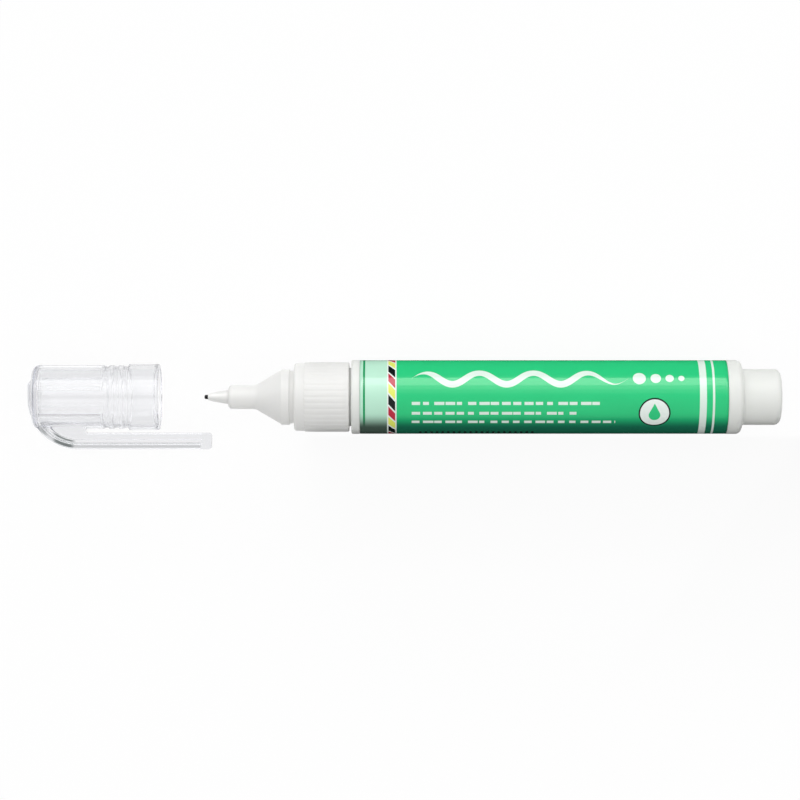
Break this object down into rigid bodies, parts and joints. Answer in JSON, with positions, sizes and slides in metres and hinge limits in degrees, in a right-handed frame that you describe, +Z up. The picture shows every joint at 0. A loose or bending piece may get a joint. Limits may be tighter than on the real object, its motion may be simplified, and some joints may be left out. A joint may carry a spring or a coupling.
{
  "type": "correction pen",
  "caption": "Squeeze-barrel correction pen with a sprung needle valve in its fine point, a mixing ball inside and a clear clip cap pulled off its nose.",
  "frame": {"origin": "centre of the flat rear end, on the pen's axis", "axes": "+X along the pen's axis out of its rear end, so the point faces -X; the cap's clip is on the -Y side; +Z up, with the pen lying on its side"},
  "size_m": [0.175, 0.0207, 0.0172],
  "materials": {
    "barrel_plastic": "soft white moulded plastic, satin",
    "front_plastic": "white moulded plastic, satin",
    "label_film": "printed film, satin gloss",
    "tip_metal": "pale satin metal",
    "needle_steel": "dark ground steel",
    "inner_plastic": "natural moulded plastic",
    "spring_steel": "drawn wire",
    "gasket_rubber": "matt",
    "ball_steel": "polished",
    "clear_plastic": "clear, polished"
  },
  "bodies": {
    "barrel": {"barrel": "barrel_plastic", "label_sleeve": "label_film", "front_section": "front_plastic", "neck_gasket": "gasket_rubber", "point_tip": "tip_metal", "valve_spring": "spring_steel", "spring_retainer": "inner_plastic"},
    "cap": {"cap": "clear_plastic"},
    "needle": {"valve_needle": "needle_steel", "needle_plunger": "inner_plastic"},
    "ball": {"mixing_ball": "ball_steel"}
  },
  "joints": [
    {"name": "cap_slide", "type": "slide", "parent": "barrel", "child": "cap", "axis": [1, 0, 0], "range_m": [0, 0.0312]},
    {"name": "needle_press", "type": "slide", "parent": "barrel", "child": "needle", "axis": [1, 0, 0], "range_m": [0, 0.0005], "stiffness_N_per_m": 490, "springref_m": -0.001, "deforming": ["valve_spring"]},
    {"name": "ball_roll", "type": "slide", "parent": "barrel", "child": "ball", "axis": [1, 0, 0], "range_m": [0, 0.0822]}
  ]
}
